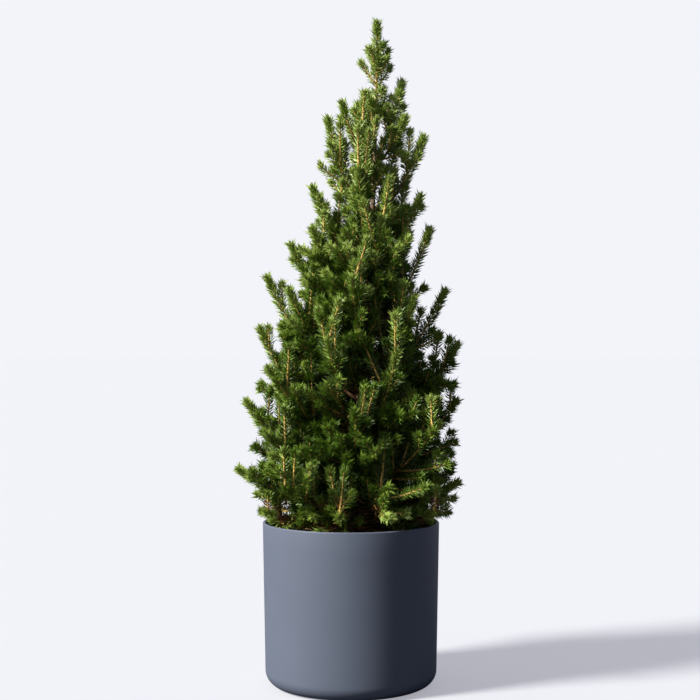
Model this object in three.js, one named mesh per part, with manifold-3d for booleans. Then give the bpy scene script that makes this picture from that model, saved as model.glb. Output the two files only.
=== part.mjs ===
// A dwarf Alberta spruce growing in a round planter, in millimetres with +Z up.
// The origin is the centre of the planter's flat underside, +X is the right of the plant and -Y its front.
// The trunk carries arms in tiers. An arm of the lower tiers is a bare bough that ends in a foliage mass,
// and higher up the mass sits on the trunk itself.

import * as THREE from "three";
import { mergeVertices } from "three/addons/utils/BufferGeometryUtils.js";
import Module from "manifold-3d";

const wasm = await Module();
wasm.setup();

// Planter and compost
const POT_HEIGHT = 165;
const POT_RIM_RADIUS = 90;
const POT_FOOT_RADIUS = 87; // of the wall, where it turns into the corner
const POT_CORNER = 15; // radius of the round corner at the foot
const POT_WALL = 3;
const POT_FLOOR = 4;
const POT_SIDES = 36;
const COMPOST_TOP = 149; // height of its level middle, where the trunk stands
const COMPOST_FALL = 3; // it lies this much lower at the wall
const CLEARANCE = 0.3; // between pieces that bear on each other

// Trunk
const PLANT_TOP = 680;
const TRUNK_FOOT = COMPOST_TOP + CLEARANCE;
const TRUNK_TIP = 604; // the leader shoot grows on from here
const TRUNK_LEAN = 26.6; // how far right of the foot the plant's top stands
const TRUNK_RADIUS = 6.5;
const TRUNK_TIP_RADIUS = 1.3;
const TRUNK_TAPER = 1.2;
const ROOT_FLARE = 4; // added to the radius at the ground
const ROOT_FLARE_HEIGHT = 7;

// Arms: an arm leaves the trunk low, bends at its knee and sweeps up to its tip
const KNEE_OUT = 0.6; // share of the reach at which the knee lies
const KNEE_UP = 0.3; // share of the rise
const BOUGH_SHARE = 0.24; // of the arm's curve that is bare bough
const BOUGH_ROOT_RADIUS = 2.3;
const BOUGH_TIP_RADIUS = 1.6;
const TRUNK_STEM_RADIUS = 1.9; // of a stem that sits on the trunk
const STAGGER = 6; // neighbours of one tier leave the trunk this much apart

// Shoots and needles
const SHOOT_RADIUS = 7; // of the slim core that the needles stand on
const SHOOT_ROOT_RADIUS = 0.8; // where it is sunk in its stem
const SHOOT_TIP_RADIUS = 3;
const SLIM_RADIUS = 1.2; // on a side where the shoot is close to the edge of its space
const SHOOT_ANGLE = 43; // degrees from its stem
const SHOOT_LIFT = 0.25; // how strongly a shoot turns up to the light
const SHOOT_TAPER = 0.3; // shoots near the arm's tip are shorter by this share
const SHORTEST_SHOOT = 20;
const TRIES = 2; // places looked at for each shoot of a mass
const SHOOT_SPACING = 12.8; // between the outer parts of two shoots of one mass
const LAST_SHOOT = 0.86; // share of the arm where the last side shoot leaves
const PLUME_FROM = 0.3; // share of the arm from where needles stand on its own stem
const GOLDEN_ANGLE = 137.5;
const NEEDLE_LENGTH = 17;
const SHORT_NEEDLE_LENGTH = 11;
const NEEDLE_ANGLE = 46; // degrees from the shoot, at its foot
const NEEDLE_TIP_ANGLE = 26; // and at its tip, where needles close to a tuft
const NEEDLE_STEP = 18; // between rings of needles on a stem
const SHOOT_RINGS = 2; // of needles on a shoot
const RING_TWIST = 40; // degrees from one ring of needles to the next
const SPACE_GAP = 0.6; // between the spaces of two arms
const FIRST_SEED = 540; // of the random numbers: the arms count on from it

// One row for each tier: where it leaves the trunk, how stout its shoots are, from which share of an arm they
// leave, how many and how long they are, and an arm for each [compass turn in degrees from +X, reach from the
// trunk, height of the tip].
const TIERS = [
  { name: "hem", leaves: 156, girth: 0.8, bare: 0.3, shoots: 8, longest: 48,
    arms: [[200, 92, 178], [262, 89, 180], [328, 94, 178], [88, 93, 180]] },
  { name: "skirt", leaves: 168, boughs: true, girth: 0.9, bare: 0.3, shoots: 10, longest: 62,
    arms: [[180, 122, 222], [232, 106, 207], [290, 100, 208], [52, 104, 214], [352, 112, 208],
      [122, 106, 216]] },
  { name: "low", leaves: 192, girth: 1, bare: 0.16, shoots: 11, longest: 62,
    arms: [[186, 110, 288], [218, 108, 258], [270, 98, 282], [318, 104, 262], [4, 110, 296],
      [88, 101, 288]] },
  { name: "middle", leaves: 228, girth: 1, bare: 0.16, shoots: 10, longest: 58,
    arms: [[179, 99, 362], [206, 98, 322], [250, 84, 350], [298, 82, 338], [1, 104, 350], [46, 92, 352],
      [132, 92, 350]] },
  { name: "upper", leaves: 286, girth: 0.95, bare: 0.16, shoots: 9, longest: 54,
    arms: [[180, 96, 414], [208, 82, 400], [262, 68, 410], [318, 70, 392], [356, 85, 400], [58, 76, 412],
      [118, 76, 420]] },
  { name: "high", leaves: 348, girth: 0.95, bare: 0.16, shoots: 8, longest: 48,
    arms: [[183, 76, 447], [208, 60, 462], [286, 52, 470], [350, 66, 462], [60, 56, 468], [126, 58, 474]] },
  { name: "crown", leaves: 404, girth: 0.9, bare: 0.16, shoots: 7, longest: 44,
    arms: [[190, 58, 505], [254, 40, 520], [346, 53, 496], [30, 46, 520], [106, 42, 522]] },
  { name: "neck", leaves: 462, girth: 0.85, bare: 0.18, shoots: 7, longest: 38,
    arms: [[182, 45, 576], [248, 30, 566], [350, 53, 556], [36, 34, 570], [110, 32, 574]] },
  { name: "top", leaves: 522, girth: 0.8, bare: 0.18, shoots: 5, longest: 30,
    arms: [[186, 33, 592], [340, 33, 576], [4, 28, 614], [110, 20, 606]] },
];
const LEADER = { girth: 0.65, bare: 0.02, shoots: 8, longest: 32 };

// The crown's outline: at each [height, radius], how far its shoots may reach from the trunk's line.
const OUTLINE = [[150, 92], [182, 104], [212, 122], [262, 116], [340, 112], [412, 98], [452, 78], [512, 60],
  [560, 52], [600, 36], [640, 24], [PLANT_TOP, 12]];

const UP = new THREE.Vector3(0, 0, 1);
const radians = THREE.MathUtils.degToRad;

const MATERIALS = {
  pot: new THREE.MeshStandardMaterial({ color: 0x5a6270, roughness: 0.5, metalness: 0 }),
  compost: new THREE.MeshStandardMaterial({ color: 0x2a1d14, roughness: 1, metalness: 0 }),
  bark: new THREE.MeshStandardMaterial({ color: 0x7a5638, roughness: 0.9, metalness: 0 }),
  needles: new THREE.MeshStandardMaterial({ color: 0x3f6a2c, roughness: 0.6, metalness: 0 }),
};

const plant = new THREE.Group();

function addPiece(name, geometry, material) {
  const piece = new THREE.Mesh(geometry, material);
  piece.name = name;
  plant.add(piece);
}

// Repeatable random numbers from 0 to 1, by Lehmer's rule.
function seededDice(seed) {
  const MULTIPLIER = 48271;
  const MODULUS = 2147483647;
  const SEED_STEP = 7919; // sets close seeds far apart
  let state = (seed * SEED_STEP * MULTIPLIER) % MODULUS;
  return () => {
    state = (state * MULTIPLIER) % MODULUS;
    return state / MODULUS;
  };
}

// Solids and their joins and cuts

function solidOf(geometry) {
  const bare = new THREE.BufferGeometry();
  bare.setAttribute("position", geometry.getAttribute("position"));
  bare.setIndex(geometry.getIndex());
  const merged = mergeVertices(bare, 1e-4);
  return new wasm.Manifold(
    new wasm.Mesh({
      numProp: 3,
      vertProperties: new Float32Array(merged.getAttribute("position").array),
      triVerts: new Uint32Array(merged.getIndex().array),
    }),
  );
}

function geometryOf(solid) {
  const mesh = solid.getMesh();
  const geometry = new THREE.BufferGeometry();
  geometry.setAttribute("position", new THREE.BufferAttribute(mesh.vertProperties, 3));
  geometry.setIndex(new THREE.BufferAttribute(mesh.triVerts, 1));
  geometry.computeVertexNormals();
  return geometry;
}

// The largest piece of a solid, without the hollows that joining sealed in it or loose scraps.
function mainPiece(solid) {
  return solid.decompose().reduce((largest, piece) => (piece.volume() > largest.volume() ? piece : largest));
}

// A closed tube round a row of rings, each { centre, across, over, radiusTo }, whose first end is flat.
// radiusTo gives the ring's radius in the direction it is passed.
// tipPoint closes the far end to a point, and without it that end is flat too.
// needleAt(ring, side) may give the point of a needle that stands on that facet of the tube.
function tubeGeometry(rings, sides, { twist = 0, tipPoint = null, needleAt = () => null } = {}) {
  const points = [];
  const triangles = [];
  rings.forEach(({ centre, across, over, radiusTo }, ring) => {
    for (let side = 0; side < sides; side++) {
      const angle = (2 * Math.PI * side) / sides + ring * twist;
      const outward = across.clone().multiplyScalar(Math.cos(angle)).addScaledVector(over, Math.sin(angle));
      points.push(centre.clone().addScaledVector(outward, radiusTo(outward)));
    }
  });
  const corner = (ring, side) => ring * sides + (side % sides);
  for (let ring = 0; ring + 1 < rings.length; ring++) {
    for (let side = 0; side < sides; side++) {
      const facet = [corner(ring, side), corner(ring, side + 1)];
      facet.push(corner(ring + 1, side + 1), corner(ring + 1, side));
      const needle = needleAt(ring, side);
      if (needle) {
        const point = points.push(needle) - 1;
        facet.forEach((from, i) => triangles.push(from, facet[(i + 1) % facet.length], point));
      } else {
        triangles.push(facet[0], facet[1], facet[2], facet[0], facet[2], facet[3]);
      }
    }
  }
  for (let side = 1; side + 1 < sides; side++) triangles.push(0, corner(0, side + 1), corner(0, side));
  const last = rings.length - 1;
  if (tipPoint) {
    const tip = points.push(tipPoint) - 1;
    for (let side = 0; side < sides; side++) triangles.push(corner(last, side), corner(last, side + 1), tip);
  } else {
    for (let side = 1; side + 1 < sides; side++) {
      triangles.push(corner(last, 0), corner(last, side), corner(last, side + 1));
    }
  }
  const geometry = new THREE.BufferGeometry().setFromPoints(points);
  geometry.setIndex(triangles);
  geometry.computeVertexNormals();
  return geometry;
}

// Planter and compost

function wallRadius(height) {
  return POT_FOOT_RADIUS + ((POT_RIM_RADIUS - POT_FOOT_RADIUS) * height) / POT_HEIGHT;
}

// A quarter turn from the flat foot up into the wall, at a distance inside the planter's outer face.
function cornerArc(inset) {
  const STEPS = 4;
  const middle = new THREE.Vector2(wallRadius(POT_CORNER) - POT_CORNER, POT_CORNER);
  const arc = [];
  for (let step = 0; step <= STEPS; step++) {
    const angle = -Math.PI / 2 + (Math.PI / 2) * (step / STEPS);
    const radius = POT_CORNER - inset;
    arc.push(new THREE.Vector2(middle.x + radius * Math.cos(angle), middle.y + radius * Math.sin(angle)));
  }
  return arc;
}

function turned(profile) {
  return new THREE.LatheGeometry(profile, POT_SIDES).rotateX(Math.PI / 2);
}

function makePot() {
  const rimRound = POT_WALL / 3;
  const inner = cornerArc(POT_WALL).filter((point) => point.y > POT_FLOOR);
  const profile = [
    new THREE.Vector2(0, 0),
    ...cornerArc(0),
    new THREE.Vector2(wallRadius(POT_HEIGHT - rimRound), POT_HEIGHT - rimRound),
    new THREE.Vector2(POT_RIM_RADIUS - rimRound, POT_HEIGHT),
    new THREE.Vector2(POT_RIM_RADIUS - POT_WALL + rimRound / 2, POT_HEIGHT),
    new THREE.Vector2(POT_RIM_RADIUS - POT_WALL, POT_HEIGHT - rimRound),
    ...inner.reverse(),
    new THREE.Vector2(inner.at(-1).x - POT_WALL, POT_FLOOR),
    new THREE.Vector2(0, POT_FLOOR),
  ];
  addPiece("pot", turned(profile), MATERIALS.pot);
}

function makeCompost() {
  const inset = POT_WALL + CLEARANCE;
  const edge = COMPOST_TOP - COMPOST_FALL;
  const levelRadius = 2.5 * (TRUNK_RADIUS + ROOT_FLARE); // of the flat middle under the trunk
  const corner = cornerArc(inset).filter((point) => point.y > POT_FLOOR + CLEARANCE);
  const profile = [
    new THREE.Vector2(0, POT_FLOOR + CLEARANCE),
    new THREE.Vector2(corner[0].x - 2 * POT_WALL, POT_FLOOR + CLEARANCE),
    ...corner,
    new THREE.Vector2(wallRadius(edge) - inset, edge),
    new THREE.Vector2(levelRadius, COMPOST_TOP),
    new THREE.Vector2(0, COMPOST_TOP),
  ];
  addPiece("compost", turned(profile), MATERIALS.compost);
}

// Trunk

// How far a height is from the trunk's foot, 0, to the top of the plant, 1.
function shareOfHeight(height) {
  return (height - TRUNK_FOOT) / (PLANT_TOP - TRUNK_FOOT);
}

function trunkPoint(height) {
  return new THREE.Vector3(TRUNK_LEAN * Math.sin((Math.PI / 2) * shareOfHeight(height)), 0, height);
}

function trunkRadius(height) {
  const share = Math.min(1, (height - TRUNK_FOOT) / (TRUNK_TIP - TRUNK_FOOT));
  const taper = Math.pow(1 - share, TRUNK_TAPER);
  const flare = ROOT_FLARE * Math.exp((TRUNK_FOOT - height) / ROOT_FLARE_HEIGHT);
  return TRUNK_TIP_RADIUS + (TRUNK_RADIUS - TRUNK_TIP_RADIUS) * taper + flare;
}

// The trunk with its bark moved out by a margin. Its rings lie level, so the cut at the ground is flat.
function trunkGeometry(margin) {
  const RINGS = 12;
  const FLARE_RINGS = [0, 0.008, 0.025, 0.06]; // shares of its height, close together where the foot flares
  const SIDES = 8;
  const shares = [...FLARE_RINGS];
  for (let ring = 1; ring <= RINGS; ring++) {
    shares.push(THREE.MathUtils.lerp(FLARE_RINGS.at(-1), 1, ring / RINGS));
  }
  const rings = shares.map((share) => {
    const height = THREE.MathUtils.lerp(TRUNK_FOOT, TRUNK_TIP + margin, share);
    return {
      centre: trunkPoint(height),
      across: new THREE.Vector3(1, 0, 0),
      over: new THREE.Vector3(0, 1, 0),
      radiusTo: () => trunkRadius(height) + margin,
    };
  });
  return tubeGeometry(rings, SIDES);
}

// Arms

function makeArm(tier, [turn, reach, tipHeight], index) {
  const outward = new THREE.Vector3(Math.cos(radians(turn)), Math.sin(radians(turn)), 0);
  const root = trunkPoint(tier.leaves + STAGGER * (index % 3));
  const rise = tipHeight - root.z;
  const knee = root.clone().addScaledVector(outward, KNEE_OUT * reach).addScaledVector(UP, KNEE_UP * rise);
  const tip = root.clone().addScaledVector(outward, reach).addScaledVector(UP, rise);
  return {
    tier,
    label: `${tier.name}_foliage_${index + 1}`,
    boughLabel: `${tier.name}_bough_${index + 1}`,
    curve: new THREE.QuadraticBezierCurve3(root, knee, tip),
    across: new THREE.Vector3(-outward.y, outward.x, 0), // level, and square to the arm all along it
  };
}

const arms = TIERS.flatMap((tier) => tier.arms.map((sizes, index) => makeArm(tier, sizes, index)));
const leader = {
  tier: LEADER,
  label: "leader_foliage",
  curve: new THREE.QuadraticBezierCurve3(
    trunkPoint(TRUNK_TIP + CLEARANCE),
    trunkPoint((TRUNK_TIP + PLANT_TOP) / 2),
    trunkPoint(PLANT_TOP),
  ),
  across: new THREE.Vector3(0, 1, 0),
};
const everyArm = [...arms, leader];

function crownRadius(height) {
  const above = Math.max(1, OUTLINE.findIndex(([top]) => top >= height));
  const [[low, lowRadius], [high, highRadius]] = OUTLINE.slice(above - 1, above + 1);
  return THREE.MathUtils.mapLinear(height, low, high, lowRadius, highRadius);
}

function inCrown(point) {
  if (point.z > PLANT_TOP || point.z < OUTLINE[0][0]) return false;
  const axis = trunkPoint(point.z);
  return Math.hypot(point.x - axis.x, point.y - axis.y) < crownRadius(point.z);
}

// Each arm keeps to the space that is nearer to its own axis than to any other.
const AXIS_STEPS = 10;
for (const arm of everyArm) arm.axis = arm.curve.getPoints(AXIS_STEPS);

function distanceToAxis(point, axis) {
  const nearest = new THREE.Vector3();
  const line = new THREE.Line3();
  let least = Infinity;
  for (let step = 0; step + 1 < axis.length; step++) {
    line.set(axis[step], axis[step + 1]);
    line.closestPointToPoint(point, true, nearest);
    least = Math.min(least, point.distanceTo(nearest));
  }
  return least;
}

function inOwnSpace(point, arm, margin) {
  const own = distanceToAxis(point, arm.axis);
  return everyArm.every((other) => {
    if (other === arm) return true;
    const distance = distanceToAxis(point, other.axis);
    return distance > own + margin && distance > BOUGH_ROOT_RADIUS + margin;
  });
}

// Clear of the trunk, the planter's wall and the compost.
function clearOfTrunkAndPot(point, margin) {
  const height = Math.min(Math.max(point.z, TRUNK_FOOT), TRUNK_TIP);
  const axis = trunkPoint(height);
  const fromAxis = Math.hypot(point.x - axis.x, point.y - axis.y);
  if (point.z < TRUNK_TIP && fromAxis < trunkRadius(height) + margin) return false;
  if (point.z > POT_HEIGHT + margin) return true;
  const insideWall = Math.hypot(point.x, point.y) < wallRadius(point.z) - POT_WALL - margin;
  return insideWall && point.z > COMPOST_TOP + margin;
}

function fits(point, arm, margin) {
  return inCrown(point) && clearOfTrunkAndPot(point, margin) && inOwnSpace(point, arm, margin);
}

// The level and upright directions square to a stem, at a share of the arm's curve.
function frameAt(arm, share) {
  const direction = arm.curve.getTangent(share);
  return { direction, across: arm.across, over: direction.clone().cross(arm.across) };
}

// The radius of a shoot round a point, made slimmer in a direction where it would leave the arm's space.
function fittingRadius(centre, radius, arm) {
  return (outward) => {
    const edge = centre.clone().addScaledVector(outward, radius);
    return fits(edge, arm, SPACE_GAP) ? radius : Math.min(radius, SLIM_RADIUS);
  };
}

// A tube with needles on it: each stands on a facet, leans forward and is shortened or left out to fit.
function needledTube(rings, directions, tipPoint, arm, isBare) {
  const SIDES = 3;
  const twist = radians(RING_TWIST);
  const needleAt = (ring, side) => {
    if (isBare(ring)) return null;
    const progress = ring / (rings.length - 1);
    const lean = radians(THREE.MathUtils.lerp(NEEDLE_ANGLE, NEEDLE_TIP_ANGLE, progress));
    const { across, over } = rings[ring];
    const angle = (2 * Math.PI * (side + 0.5)) / SIDES + (ring + 0.5) * twist;
    const foot = rings[ring].centre.clone().lerp(rings[ring + 1].centre, 0.5);
    const way = directions[ring].clone().multiplyScalar(Math.cos(lean))
      .addScaledVector(across, Math.sin(lean) * Math.cos(angle))
      .addScaledVector(over, Math.sin(lean) * Math.sin(angle));
    const lengths = [NEEDLE_LENGTH, SHORT_NEEDLE_LENGTH];
    const points = lengths.map((length) => foot.clone().addScaledVector(way, arm.tier.girth * length));
    return points.find((point) => fits(point, arm, SPACE_GAP)) ?? null;
  };
  return tubeGeometry(rings, SIDES, { twist, tipPoint, needleAt });
}

// The stem that a mass grows on, from a share of the arm's curve to its tip. Needles clothe its outer part.
function stemGeometry(arm, from, rootRadius) {
  const needledFrom = arm === leader ? from : Math.max(PLUME_FROM, arm.tier.bare);
  const length = arm.curve.getLength();
  const needledRings = Math.max(3, Math.round((length * (1 - needledFrom)) / NEEDLE_STEP));
  const bareShares = arm === leader ? [] : [from, (from + needledFrom) / 2];
  const shares = [...bareShares];
  for (let ring = 0; ring < needledRings; ring++) {
    shares.push(THREE.MathUtils.lerp(needledFrom, 1, ring / needledRings));
  }
  const isBareRing = (ring) => ring < bareShares.length;
  const rings = shares.map((share, ring) => {
    const { across, over } = frameAt(arm, share);
    const isBare = isBareRing(ring);
    const needled = arm.tier.girth * THREE.MathUtils.lerp(SHOOT_RADIUS, SHOOT_TIP_RADIUS, share);
    const radius = isBare ? rootRadius : needled;
    const centre = arm.curve.getPoint(share);
    return { centre, across, over, radiusTo: isBare ? () => radius : fittingRadius(centre, radius, arm) };
  });
  const directions = shares.map((share) => arm.curve.getTangent(share));
  return needledTube(rings, directions, arm.curve.getPoint(1), arm, isBareRing);
}

// The course of a straight side shoot: its foot, direction and the points along it to its tip. It is shortened
// till it fits the arm's space and keeps away from taken points, and is null where it would be too short.
function shootCourse(arm, share, roll, length, taken) {
  const SHORTENING = 0.85;
  const { direction, across, over } = frameAt(arm, share);
  const start = arm.curve.getPoint(share);
  const lean = radians(SHOOT_ANGLE);
  const away = direction.clone().multiplyScalar(Math.cos(lean))
    .addScaledVector(across, Math.sin(lean) * Math.cos(roll))
    .addScaledVector(over, Math.sin(lean) * Math.sin(roll))
    .addScaledVector(UP, SHOOT_LIFT)
    .normalize();
  const margin = 2 * SLIM_RADIUS + SPACE_GAP;
  for (let reach = length; reach >= SHORTEST_SHOOT; reach *= SHORTENING) {
    const points = [];
    for (let ring = 1; ring <= SHOOT_RINGS + 1; ring++) {
      points.push(start.clone().addScaledVector(away, (reach * ring) / (SHOOT_RINGS + 1)));
    }
    const spacing = arm.tier.girth * SHOOT_SPACING;
    const crowded = points.some((point) => taken.some((other) => point.distanceTo(other) < spacing));
    if (!crowded && points.every((point) => fits(point, arm, margin))) return { start, away, points };
  }
  return null;
}

function shootGeometry(arm, { start, away, points }) {
  const across = away.clone().cross(UP).normalize();
  const over = away.clone().cross(across);
  const rings = [start, ...points.slice(0, -1)].map((centre, ring) => {
    const needled = arm.tier.girth * THREE.MathUtils.lerp(SHOOT_RADIUS, SHOOT_TIP_RADIUS, ring / SHOOT_RINGS);
    const radius = ring === 0 ? SHOOT_ROOT_RADIUS : needled;
    return { centre, across, over, radiusTo: fittingRadius(centre, radius, arm) };
  });
  return needledTube(rings, rings.map(() => away), points.at(-1), arm, (ring) => ring === 0);
}

// One foliage mass: a stem and its side shoots, joined to one solid.
function massSolid(arm, seed, from, rootRadius) {
  const TURN_SPREAD = 30; // degrees by which a shoot strays from the golden angle
  const LENGTH_SPREAD = 0.3; // share by which shoots differ in length
  const roll = seededDice(seed);
  const { bare, shoots, longest } = arm.tier;
  const taken = [0.7, 0.8, 0.9, 1].map((share) => arm.curve.getPoint(share)); // the plume at the stem's end
  let mass = solidOf(stemGeometry(arm, from, rootRadius));
  let angle = 360 * roll();
  const tries = TRIES * shoots;
  for (let index = 0; index < tries; index++) {
    const progress = (index + roll()) / tries;
    const share = THREE.MathUtils.lerp(bare, LAST_SHOOT, progress);
    const length = longest * (1 - SHOOT_TAPER * progress) * (1 + LENGTH_SPREAD * (roll() - 0.5));
    angle += GOLDEN_ANGLE + TURN_SPREAD * (roll() - 0.5);
    const course = shootCourse(arm, share, radians(angle), length, taken);
    if (!course) continue;
    taken.push(...course.points);
    mass = mass.add(solidOf(shootGeometry(arm, course)));
  }
  return mass;
}

function makeBough(arm, trunkSleeve) {
  const SIDES = 6;
  const RINGS = 4;
  const rings = [];
  for (let ring = 0; ring <= RINGS; ring++) {
    const share = (BOUGH_SHARE * ring) / RINGS;
    const { across, over } = frameAt(arm, share);
    const radius = THREE.MathUtils.lerp(BOUGH_ROOT_RADIUS, BOUGH_TIP_RADIUS, ring / RINGS);
    rings.push({ centre: arm.curve.getPoint(share), across, over, radiusTo: () => radius });
  }
  const bough = solidOf(tubeGeometry(rings, SIDES)).subtract(trunkSleeve);
  addPiece(arm.boughLabel, geometryOf(bough), MATERIALS.bark);
}

makePot();
makeCompost();
addPiece("trunk", trunkGeometry(0), MATERIALS.bark);
const trunkSleeve = solidOf(trunkGeometry(CLEARANCE));
everyArm.forEach((arm, index) => {
  const seed = FIRST_SEED + index;
  let mass;
  if (arm.tier.boughs) {
    makeBough(arm, trunkSleeve);
    mass = massSolid(arm, seed, BOUGH_SHARE + CLEARANCE / arm.curve.getLength(), BOUGH_TIP_RADIUS);
  } else {
    mass = massSolid(arm, seed, 0, arm === leader ? TRUNK_TIP_RADIUS : TRUNK_STEM_RADIUS);
  }
  addPiece(arm.label, geometryOf(mainPiece(mass.subtract(trunkSleeve))), MATERIALS.needles);
});

export default plant;
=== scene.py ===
# %% [markdown]
# # A potted dwarf Alberta spruce
# The packed model is a frame: simple solids that say where the planter, the trunk, the boughs and each mass
# of foliage are. This lesson dresses that frame. It makes a smooth planter, damp compost, bark with relief,
# and some seventy metres of thin stems with every needle on them.
# The frame is loaded first, and its box is kept, because the stems and needles stay inside it.

# %% Load the frame
import math

import bpy
import numpy as np
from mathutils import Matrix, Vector, noise


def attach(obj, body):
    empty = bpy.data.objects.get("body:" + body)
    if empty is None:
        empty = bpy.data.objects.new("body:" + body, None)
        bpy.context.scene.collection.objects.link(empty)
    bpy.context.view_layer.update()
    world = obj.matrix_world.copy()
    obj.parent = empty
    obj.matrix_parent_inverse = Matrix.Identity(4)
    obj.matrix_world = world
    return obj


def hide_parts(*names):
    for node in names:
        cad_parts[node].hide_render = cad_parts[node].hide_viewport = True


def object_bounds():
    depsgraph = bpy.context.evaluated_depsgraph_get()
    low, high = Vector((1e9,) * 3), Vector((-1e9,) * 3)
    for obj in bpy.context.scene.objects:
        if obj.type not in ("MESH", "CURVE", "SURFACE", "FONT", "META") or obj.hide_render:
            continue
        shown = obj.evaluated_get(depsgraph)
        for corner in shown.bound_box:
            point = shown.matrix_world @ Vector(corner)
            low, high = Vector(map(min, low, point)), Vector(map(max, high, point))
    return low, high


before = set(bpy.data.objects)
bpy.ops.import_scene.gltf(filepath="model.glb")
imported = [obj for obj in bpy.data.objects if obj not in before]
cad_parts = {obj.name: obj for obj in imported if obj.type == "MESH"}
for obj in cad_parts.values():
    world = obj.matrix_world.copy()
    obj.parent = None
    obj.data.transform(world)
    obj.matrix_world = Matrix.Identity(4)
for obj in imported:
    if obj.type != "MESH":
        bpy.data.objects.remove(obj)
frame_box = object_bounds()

MM = 0.001
UP = np.array([0.0, 0.0, 1.0])
print("frame nodes:", len(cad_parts))
print("frame box:", [tuple(round(x, 4) for x in corner) for corner in frame_box])

# %% [markdown]
# ## Camera
# A level camera with a long lens keeps the planter's sides upright. It stands 1.4 m in front of the plant,
# at half the plant's height, so the rim of the planter shows as a narrow ellipse.

# %% Camera
CAMERA_DISTANCE = 1.4
CAMERA_HEIGHT = 0.34
CAMERA_LEFT = 0.001
LENS = 70.4

camera = bpy.data.objects.new("camera", bpy.data.cameras.new("camera"))
camera.data.lens = LENS
camera.location = (-CAMERA_LEFT, -CAMERA_DISTANCE, CAMERA_HEIGHT)
camera.rotation_euler = (math.radians(90), 0, 0)
bpy.context.collection.objects.link(camera)
bpy.context.scene.camera = camera
print("camera:", camera.location[:])

# %% [markdown]
# ## Shader maths
# A material is a graph of nodes. Built link by link it is hard to read, so one small class stands for a
# node's output and turns + - * ** into Math nodes. They hold numbers only, so colours are never summed here.

# %% Sums on sockets
class Wire:
    """A node's output socket. Arithmetic on it adds Math nodes."""

    def __init__(self, graph, output):
        self.graph = graph
        self.output = output

    def maths(self, operation, *terms):
        return self.graph.node("ShaderNodeMath", {"operation": operation}, dict(enumerate(terms)))

    def __add__(self, other):
        return self.maths("ADD", self, other)

    def __sub__(self, other):
        return self.maths("SUBTRACT", self, other)

    def __rsub__(self, other):
        return self.maths("SUBTRACT", other, self)

    def __mul__(self, other):
        return self.maths("MULTIPLY", self, other)

    def __pow__(self, other):
        return self.maths("POWER", self, other)

    __radd__, __rmul__ = __add__, __mul__  # a sum or a product is the same both ways round


print("sums on sockets: + - * **")

# %% [markdown]
# A second class holds the graph and has the one method that adds any other node: its type, its settings, and
# then the values or links of its sockets. The short methods after it are for the nodes that come up often.

# %% Node graph
class Graph:
    """The node graph of a material or of the world."""

    def __init__(self, owner):
        owner.use_nodes = True
        self.tree = owner.node_tree

    def node(self, kind, settings, inputs, output=0):
        made = self.tree.nodes.new(kind)
        for name, value in settings.items():
            if name == "stops":
                self.set_stops(made.color_ramp, value)
            else:
                setattr(made, name, value)
        self.feed(made, inputs)
        return Wire(self, made.outputs[output])

    def feed(self, made, inputs):
        """Sets or links sockets of a node, each named or numbered."""
        for name, value in inputs.items():
            if isinstance(value, Wire):
                self.tree.links.new(value.output, made.inputs[name])
            else:
                made.inputs[name].default_value = value

    @staticmethod
    def set_stops(ramp, stops):
        while len(ramp.elements) < len(stops):
            ramp.elements.new(1.0)
        for element, (position, colour) in zip(ramp.elements, stops):
            element.position = position
            element.color = colour

    def place(self):
        """Where a point lies on the object, in metres."""
        return self.node("ShaderNodeTexCoord", {}, {}, "Object")

    def noise(self, scale, detail, roughness=0.5, stretch=None):
        """A noise pattern. A stretch multiplies each axis first, so that the pattern gets long or flat."""
        place = self.place()
        if stretch:
            place = self.node("ShaderNodeVectorMath", {"operation": "MULTIPLY"}, {0: place, 1: stretch})
        sockets = {"Vector": place, "Scale": scale, "Detail": detail, "Roughness": roughness}
        return self.node("ShaderNodeTexNoise", {}, sockets, "Fac")

    def ramp(self, value, stops):
        return self.node("ShaderNodeValToRGB", {"stops": stops}, {"Fac": value}, "Color")

    def mix(self, mask, first, second):
        """The first colour where the mask is 0, and the second where it is 1."""
        return self.node("ShaderNodeMix", {"data_type": "RGBA"}, {0: mask, 6: first, 7: second}, 2)

    def bump(self, height, strength, distance):
        return self.node("ShaderNodeBump", {}, {"Height": height, "Strength": strength, "Distance": distance})


print("a graph can add:", [name for name in vars(Graph) if not name.startswith("_")])

# %% [markdown]
# Each finish of this plant is one function that says what goes into the sockets of its shader. So the recipe
# of a surface stands in one place, and one helper makes the material and plugs it all in.

# %% Finish helpers
def finish(name, surface, *values):
    """A material whose shader gets the sockets that the surface function works out."""
    material = bpy.data.materials.new(name)
    graph = Graph(material)
    graph.feed(graph.tree.nodes["Principled BSDF"], surface(graph, *values))
    return material


def shade(colour, factor=1.0):
    """A colour made darker or lighter by a factor, with its alpha."""
    return (*[min(1.0, channel * factor) for channel in colour], 1.0)


print("a lighter grey:", shade((0.5, 0.5, 0.5), 1.2))

# %% [markdown]
# ## Mesh helpers
# Thousands of needles can't be made one object at a time. Every piece here is worked out as arrays of points
# and faces, its shell, and goes into its mesh in a few bulk calls. That takes a moment even for a million
# faces.

# %% Pieces from arrays
BODY = "root"


def join_shells(shells):
    """Joins (points, faces) pairs into one pair."""
    counts = np.cumsum([0] + [len(points) for points, _ in shells[:-1]])
    points = np.concatenate([points for points, _ in shells])
    faces = np.concatenate([faces + start for (_, faces), start in zip(shells, counts)])
    return points, faces


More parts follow.
